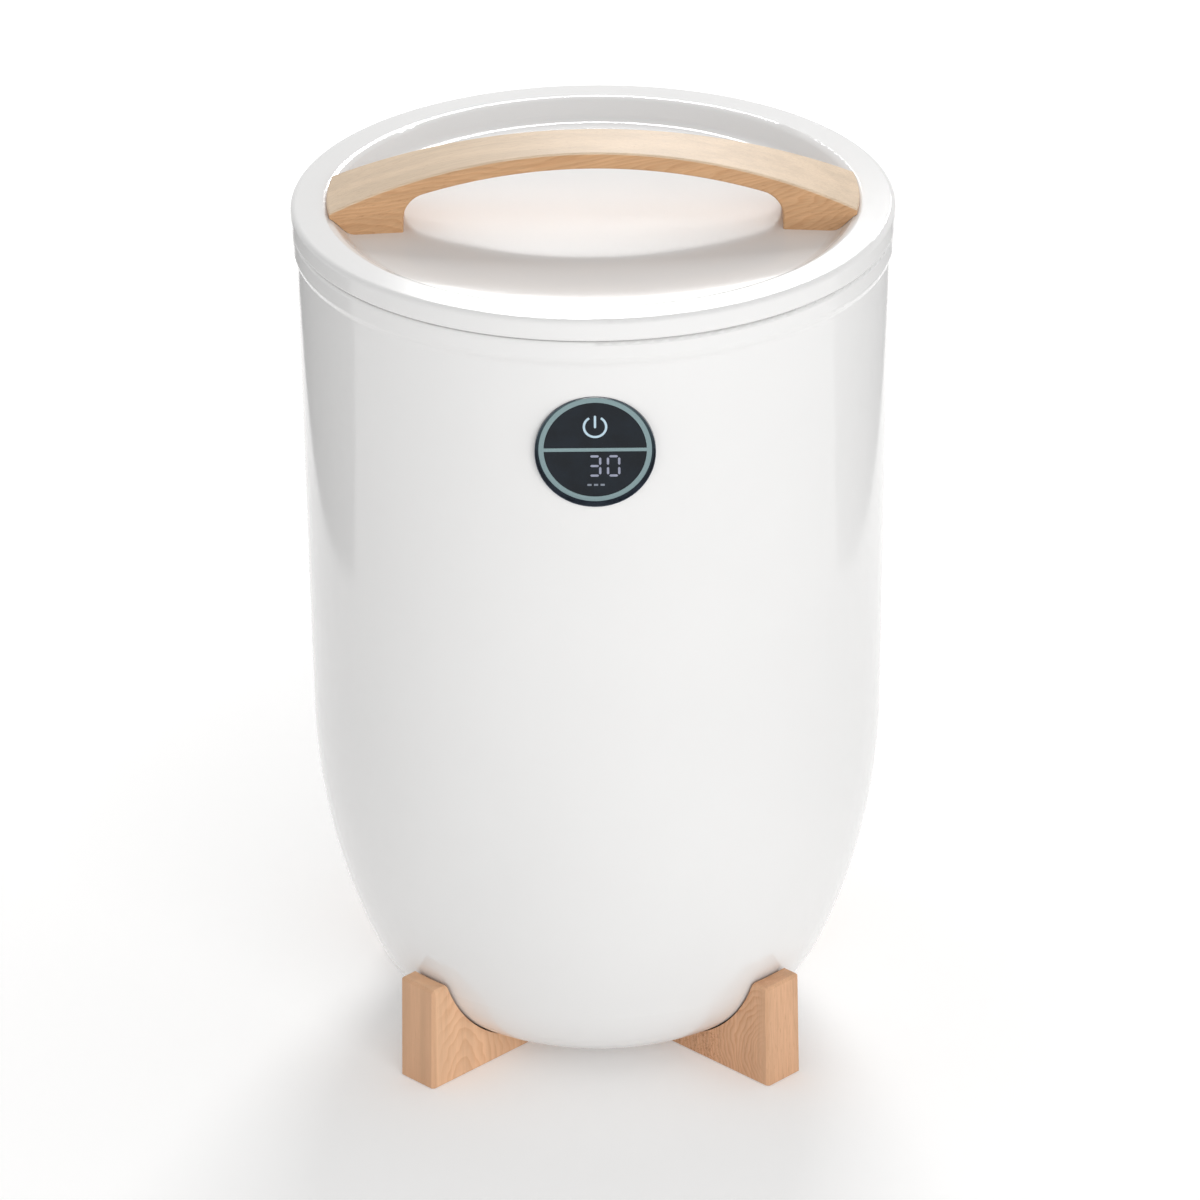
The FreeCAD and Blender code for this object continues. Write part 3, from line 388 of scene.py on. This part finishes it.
def circuit_board():
    green = (0.020, 0.135, 0.060)
    finish = Finish("circuit_board", green, roughness=0.38, specular=0.45)
    weave = finish.cells(scale=1400.0)
    dark, light = shades(green, 0.75, 1.2)
    finish.link(finish.ramp(weave, (0.2, dark), (0.6, light)), "Base Color")
    finish.link(finish.spread(finish.noise(scale=500.0), 0.30, 0.46), "Roughness")
    finish.bump(weave, depth=weave_depth, strength=0.4)
    return finish.material


def lit_sign(name, color, level):
    """A sign lit from behind, a little uneven along its strokes."""
    finish = Finish(name, color, roughness=0.3, specular=0.3)
    uneven = finish.noise(scale=420.0, detail=1.0)
    dim, bright = shades(color, 0.86, 1.0)
    finish.link(finish.ramp(uneven, (0.35, dim), (0.65, bright)), "Emission Color")
    finish.set("Base Color", (0.02, 0.02, 0.025, 1.0))
    finish.set("Emission Strength", level)
    return finish.material


def all_finishes():
    """One finish for each material slot of the record but the wood."""
    return {
        "white_gloss": white_gloss(),
        "black_panel": black_panel(),
        "panel_frame": panel_frame(),
        "panel_bezel": panel_bezel(),
        "bucket_aluminium": brushed("bucket_aluminium", (0.86, 0.865, 0.87), roughness=0.40,
                                    stretch=(1.0, 1.0, 60.0), scale=20.0, depth=bucket_depth),
        "zinc_steel": brushed("zinc_steel", (0.60, 0.61, 0.63), roughness=0.30,
                              stretch=(1.0, 6.0, 1.0), scale=160.0, depth=plating_depth),
        "standoff_brass": brushed("standoff_brass", (0.72, 0.52, 0.22), roughness=0.25,
                                  stretch=(1.0, 1.0, 8.0), scale=300.0, depth=turning_depth),
        "seal_silicone": moulded("seal_silicone", (0.76, 0.76, 0.74), roughness=0.48, scale=700.0,
                                 depth=seal_depth),
        "heater_silicone": moulded("heater_silicone", (0.52, 0.16, 0.09), roughness=0.62, scale=420.0,
                                   depth=heater_depth),
        "black_plastic": moulded("black_plastic", (0.022, 0.022, 0.024), roughness=0.50, scale=1500.0,
                                 depth=casing_depth),
        "connector_plastic": moulded("connector_plastic", (0.78, 0.75, 0.66), roughness=0.45, scale=900.0,
                                     depth=connector_depth),
        "lead_rubber": moulded("lead_rubber", (0.55, 0.045, 0.035), roughness=0.50, scale=800.0,
                               depth=lead_depth),
        "pad_rubber": moulded("pad_rubber", (0.045, 0.045, 0.046), roughness=0.75, scale=1200.0,
                              depth=pad_depth),
        "insulation_wool": wool_felt(),
        "circuit_board": circuit_board(),
    }


def handle_growth(finish, grain):
    """Layers across the turned X, which wander along the grain. All but a thin bent band under the top face
    is darkened as painted shade, so the top stays paler as a painted sheen.
    """
    scale, shares = handle_swirl
    swirl = finish.noise(scale=scale, detail=2.0, place=finish.place(stretch=shares, source=grain))
    across, _, _ = finish.split(grain)
    layers = finish.layers(across, handle_layer_spacing, swirl, handle_bend)
    _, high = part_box("lid_handle")
    arc = (high.x ** 2 + handle_sag ** 2) / (2 * handle_sag)
    x, _, z = finish.split(finish.coordinates)
    arc_distance = finish.diagonal(x, finish.math("SUBTRACT", z, high.z - arc))
    # Painted sheen mask: 0 in a thin band under the top face, 1 below it
    painted_shade = finish.spread(arc_distance, 1.0, 0.0, arc - painted_sheen_depth, arc - painted_sheen_depth / 2)
    return layers, 1.0, 0.0, painted_shade


def foot_growth(node, heart, spacing, bend, mottle):
    """Growth round a heart, which runs through the foot from side to side.

    The layers fade out at the end itself, which is darkened as painted shade where a shade is given, and the
    wood is mottled at the inner tip."""
    _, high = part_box(node)
    end = high.x * math.sqrt(2) - foot_thickness / 2
    heart_room, heart_height, heart_share = heart

    def growth(finish, grain):
        scale, shares = foot_swirl
        swirl = finish.noise(scale=scale, detail=2.0, place=finish.place(stretch=shares, source=grain))
        _, y, z = finish.split(grain)
        room = finish.math("SUBTRACT", end, finish.math("ABSOLUTE", y))
        across = finish.math("SUBTRACT", room, heart_room)
        rise = finish.math("DIVIDE", finish.math("SUBTRACT", z, heart_height), heart_share)
        layers = finish.layers(finish.diagonal(across, rise), spacing, swirl, bend)
        line_strength = finish.spread(room, 0.0, 1.0, *line_rooms)
        mottle_strength = finish.spread(room, 0.0, mottle, *mottle_rooms)
        # The last is how much painted shade the end gets
        return layers, line_strength, mottle_strength, finish.spread(room, 1.0, 0.0, *painted_shade_rooms)

    return growth


def handle_wood():
    """Grain along X with a slight rise to the right, and layers that stand nearly upright."""
    # The tone is the top face's paler colour, a painted sheen; the shade brings the rest down to the wood's
    # own colour as painted shade
    tone, painted_shade = (0.805, 0.645, 0.474), (0.86, 0.65, 0.48)
    turn = (0.0, math.pi / 2 + handle_grain_rise, -handle_layer_lean)
    return wood("handle_wood", tone, painted_shade, turn, handle_growth, contrast=0.12, fibre=0.8)


def foot_wood_a():
    """Upright grain: broad bands on the end of the front left foot, wide pale arcs on its side."""
    # The shade darkens this foot's end as painted shade
    tone, painted_shade = (0.820, 0.510, 0.310), (0.86, 0.82, 0.80)
    turn = (0.0, 0.0, math.pi / 4)
    growth = foot_growth("foot_beam_a", foot_hearts[0], foot_layer_spacings[0], bend=2.2, mottle=0.0)
    return wood("foot_wood_a", tone, painted_shade, turn, growth, contrast=0.11, fibre=0.3)


def foot_wood_b():
    """Upright grain: fine streaks on the end of the front right foot, close dark arcs on its side."""
    # A white shade: no painted shade on this foot's end
    tone, painted_shade = (0.740, 0.438, 0.260), (1.0, 1.0, 1.0)
    turn = (0.0, 0.0, 3 * math.pi / 4)
    growth = foot_growth("foot_beam_b", foot_hearts[1], foot_layer_spacings[1], bend=4.0, mottle=0.7)
    return wood("foot_wood_b", tone, painted_shade, turn, growth, contrast=0.22, fibre=0.8)


def dress_nodes():
    """Puts each slot's finish on its nodes, with grain of its own for the handle and the feet."""
    finishes = all_finishes()
    own = {"lid_handle": handle_wood(), "foot_beam_a": foot_wood_a(), "foot_beam_b": foot_wood_b()}
    for part in frame["record"]["subparts"]:
        node = part["node"]
        finish = own.get(node) or finishes[part["material_slot"]]
        for holder in frame["nodes"][node].material_slots:
            holder.material = finish


# Lit signs

def panel_place():
    """Centre of the panel on the front of its glass."""
    low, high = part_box("control_frame")
    middle = (low + high) / 2
    glass_low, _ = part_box("power_button")
    return Vector((middle.x, glass_low.y, middle.z))


def sign(name, outlines, finish, body):
    """Thin flat shapes on the glass. Each outline is a list of (x, z) from the panel's centre."""
    centre = panel_place()
    shape = bmesh.new()
    for outline in outlines:
        front = [shape.verts.new(centre + Vector((x, -sign_depth, z))) for x, z in outline]
        back = [shape.verts.new(centre + Vector((x, sign_sink, z))) for x, z in outline]
        shape.faces.new(front)
        shape.faces.new(back[::-1])
        for index, point in enumerate(front):
            following = (index + 1) % len(front)
            shape.faces.new((point, back[index], back[following], front[following]))
    bmesh.ops.recalc_face_normals(shape, faces=shape.faces)
    mesh = bpy.data.meshes.new(name)
    shape.to_mesh(mesh)
    shape.free()
    mesh.materials.append(finish)
    piece = bpy.data.objects.new(name, mesh)
    bpy.context.scene.collection.objects.link(piece)
    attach(piece, body)


def arc_points(rise, radius, angles):
    """Points on an arc whose angles are measured clockwise from straight up."""
    return [(math.sin(angle) * radius, rise + math.cos(angle) * radius) for angle in angles]


def arc_band(rise, radius, stroke, start, end, steps):
    angles = [start + (end - start) * step / steps for step in range(steps + 1)]
    outer = arc_points(rise, radius + stroke / 2, angles)
    inner = arc_points(rise, radius - stroke / 2, angles)
    return outer + inner[::-1]


def upright_bar(width, low, high):
    """A bar with rounded ends, centred on the panel."""
    half = width / 2
    turns = [math.pi * step / bar_end_steps for step in range(bar_end_steps + 1)]
    top = [(half * math.cos(turn), high - half + half * math.sin(turn)) for turn in turns]
    bottom = [(-half * math.cos(turn), low + half - half * math.sin(turn)) for turn in turns]
    return top + bottom


def level_stroke(left, right, rise):
    """A level stroke of a digit, pointed at both ends."""
    half = digit_stroke / 2
    return [(left, rise), (left + half, rise + half), (right - half, rise + half),
            (right, rise), (right - half, rise - half), (left + half, rise - half)]


def upright_stroke(x, low, high):
    """An upright stroke of a digit, pointed at both ends."""
    half = digit_stroke / 2
    return [(x, high), (x + half, high - half), (x + half, low + half),
            (x, low), (x - half, low + half), (x - half, high - half)]


def digit(left, strokes):
    """Seven-segment digit, from the names of its lit strokes."""
    half = digit_stroke / 2
    near, far = left + half, left + digit_width - half
    high, low = digit_top - half, digit_top - digit_height + half
    middle = (high + low) / 2
    shapes = {
        "top": level_stroke(near + digit_gap, far - digit_gap, high),
        "middle": level_stroke(near + digit_gap, far - digit_gap, middle),
        "bottom": level_stroke(near + digit_gap, far - digit_gap, low),
        "upper_left": upright_stroke(near, middle + digit_gap, high - digit_gap),
        "upper_right": upright_stroke(far, middle + digit_gap, high - digit_gap),
        "lower_left": upright_stroke(near, low + digit_gap, middle - digit_gap),
        "lower_right": upright_stroke(far, low + digit_gap, middle - digit_gap),
    }
    return [shapes[stroke] for stroke in strokes]


def dash(x):
    half = dash_length / 2
    low, high = dash_rise - dash_height / 2, dash_rise + dash_height / 2
    return [(x - half, low), (x + half, low), (x + half, high), (x - half, high)]


def make_signs():
    symbol_light = lit_sign("symbol_light", (0.52, 0.69, 0.79), level=1.0)
    digit_light = lit_sign("digit_light", (0.31, 0.33, 0.43), level=1.0)
    dash_light = lit_sign("dash_light", (0.22, 0.25, 0.30), level=1.0)
    ring = arc_band(symbol_rise, symbol_radius, symbol_stroke, symbol_gap / 2, 2 * math.pi - symbol_gap / 2,
                    symbol_steps)
    bar = upright_bar(symbol_stroke, symbol_bar_low, symbol_bar_high)
    sign("power_symbol", [ring, bar], symbol_light, "button")
    three = ("top", "upper_right", "middle", "lower_right", "bottom")
    zero = ("top", "upper_right", "lower_right", "bottom", "lower_left", "upper_left")
    strokes = digit(digit_lefts[0], three) + digit(digit_lefts[1], zero)
    sign("timer_digits", strokes, digit_light, "base")
    sign("timer_dashes", [dash(x) for x in dash_places], dash_light, "base")


# Studio

def shown_ray(tree):
    """1 for the rays that show the background: straight from the camera, mirrored or through glass."""
    path = tree.nodes.new("ShaderNodeLightPath")
    total = path.outputs["Is Camera Ray"]
    for kind in ("Is Glossy Ray", "Is Transmission Ray"):
        node = tree.nodes.new("ShaderNodeMath")
        node.operation = "MAXIMUM"
        tree.links.new(total, node.inputs[0])
        tree.links.new(path.outputs[kind], node.inputs[1])
        total = node.outputs["Value"]
    return total


def level_between(tree, low, high):
    """low for the rays that light the object, high for those that show the background."""
    node = tree.nodes.new("ShaderNodeMapRange")
    node.inputs["To Min"].default_value = low
    node.inputs["To Max"].default_value = high
    tree.links.new(shown_ray(tree), node.inputs["Value"])
    return node


def floor_glow_level(tree):
    """The floor's glow for shown rays, painted lower near the object as painted shade that deepens its
    shadow, and higher away from it.
    """
    reach = tree.nodes.new("ShaderNodeVectorMath")
    reach.operation = "LENGTH"
    tree.links.new(tree.nodes.new("ShaderNodeTexCoord").outputs["Object"], reach.inputs["Vector"])
    node = tree.nodes.new("ShaderNodeMapRange")
    node.inputs["From Min"].default_value = floor_fade_start
    node.inputs["From Max"].default_value = floor_fade_end
    node.inputs["To Min"].default_value = floor_glow
    node.inputs["To Max"].default_value = floor_far_glow
    tree.links.new(reach.outputs["Value"], node.inputs["Value"])
    return node.outputs["Result"]


def make_world():
    world = bpy.data.worlds.new("studio")
    world.use_nodes = True
    tree = world.node_tree
    background = tree.nodes["Background"]
    background.inputs["Color"].default_value = (1.0, 1.0, 1.0, 1.0)
    level = level_between(tree, world_level, 1.0)
    tree.links.new(level.outputs["Result"], background.inputs["Strength"])
    bpy.context.scene.world = world


def floor_finish():
    material = bpy.data.materials.new("studio_floor")
    material.use_nodes = True
    tree = material.node_tree
    shader = tree.nodes["Principled BSDF"]
    pale = (0.870, 0.866, 0.862, 1.0)
    shader.inputs["Base Color"].default_value = pale
    shader.inputs["Roughness"].default_value = 0.9
    shader.inputs["Specular IOR Level"].default_value = 0.0
    shader.inputs["Emission Color"].default_value = (1.0, 1.0, 1.0, 1.0)
    level = level_between(tree, floor_bounce, floor_glow)
    tree.links.new(floor_glow_level(tree), level.inputs["To Max"])
    tree.links.new(level.outputs["Result"], shader.inputs["Emission Strength"])
    return material


def make_floor():
    mesh = bpy.data.meshes.new("floor")
    corners = [(-floor_reach, -floor_reach, 0), (floor_reach, -floor_reach, 0),
               (floor_reach, floor_reach, 0), (-floor_reach, floor_reach, 0)]
    mesh.from_pydata(corners, [], [(0, 1, 2, 3)])
    mesh.materials.append(floor_finish())
    floor = bpy.data.objects.new("floor", mesh)
    bpy.context.scene.collection.objects.link(floor)


def flag_finish(name, level):
    material = bpy.data.materials.new(name)
    material.use_nodes = True
    shader = material.node_tree.nodes["Principled BSDF"]
    shader.inputs["Base Color"].default_value = (0.0, 0.0, 0.0, 1.0)
    shader.inputs["Specular IOR Level"].default_value = 0.0
    shader.inputs["Emission Color"].default_value = (1.0, 1.0, 1.0, 1.0)
    shader.inputs["Emission Strength"].default_value = level
    return material


def make_flag(name, side, level):
    """Grey sheet on the floor beside the object, which shows only in the object's gloss."""
    mesh = bpy.data.meshes.new(name)
    corners = [(side * x, y, flag_rise) for x, y in flag_near + flag_far[::-1]]
    mesh.from_pydata(corners, [], [(0, 1, 2, 3)])
    mesh.materials.append(flag_finish(name, level))
    flag = bpy.data.objects.new(name, mesh)
    flag.visible_camera = False
    flag.visible_diffuse = False
    flag.visible_shadow = False
    flag.visible_transmission = False
    bpy.context.scene.collection.objects.link(flag)


def lamp(name, place, size, power, mirrored):
    """Square soft lamp that points at the object's middle, with or without a mirror image of it."""
    light = bpy.data.lights.new(name, "AREA")
    light.size = size
    light.energy = power
    holder = bpy.data.objects.new(name, light)
    target = (cad_low + cad_high) / 2
    holder.location = place
    holder.rotation_euler = (target - Vector(place)).to_track_quat("-Z", "Y").to_euler()
    holder.visible_camera = False
    holder.visible_glossy = mirrored
    bpy.context.scene.collection.objects.link(holder)


def make_camera():
    data = bpy.data.cameras.new("camera")
    data.sensor_width = sensor_width
    data.lens = focal_pixels * sensor_width / image_width
    data.shift_x = (image_width / 2 - centre_pixel) / image_width
    camera = bpy.data.objects.new("camera", data)
    look = Matrix.Rotation(math.pi / 2 - camera_pitch, 4, "X") @ Matrix.Rotation(camera_roll, 4, "Z")
    camera.matrix_world = Matrix.Translation((0, -camera_back, camera_height)) @ look
    bpy.context.scene.collection.objects.link(camera)
    bpy.context.scene.camera = camera


dress_nodes()
make_signs()
make_world()
make_floor()
make_flag("flag_left", -1, flag_left_level)
make_flag("flag_right", 1, flag_right_level)
lamp("key", key_place, key_size, key_power, mirrored=True)
lamp("fill", fill_place, fill_size, fill_power, mirrored=False)
make_camera()
bpy.context.scene.view_settings.view_transform = "Standard"
